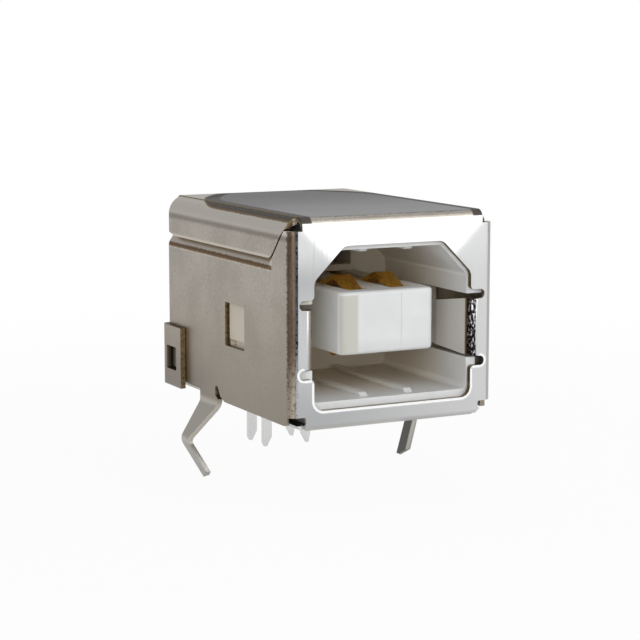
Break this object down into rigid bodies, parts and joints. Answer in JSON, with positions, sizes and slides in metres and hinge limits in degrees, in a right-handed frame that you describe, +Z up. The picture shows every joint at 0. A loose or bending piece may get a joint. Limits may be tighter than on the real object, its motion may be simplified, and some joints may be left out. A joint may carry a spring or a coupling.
{
  "type": "usb-b socket",
  "caption": "Right-angle through-hole USB-B socket: folded metal shield with kinked legs and mouth fingers, white moulded housing with tongue, spring contacts and a tail aligner.",
  "frame": {"origin": "on the board's face, on the shield's floor, midway between the two legs", "axes": "+X to the right seen from the plug's side, +Y from the mouth to the back, +Z up from the board"},
  "size_m": [0.0146, 0.016, 0.0153],
  "materials": {
    "plated_sheet": "plated sheet, satin with faint draw marks",
    "white_moulding": "fine moulded, slightly warm white",
    "gold_contact": "gold-plated spring, tin-plated tail"
  },
  "bodies": {
    "root": {"shield_shell": "plated_sheet", "housing": "white_moulding", "contact_upper_left": "gold_contact", "contact_upper_right": "gold_contact", "contact_lower_left": "gold_contact", "contact_lower_right": "gold_contact", "tail_aligner": "white_moulding"}
  },
  "joints": []
}
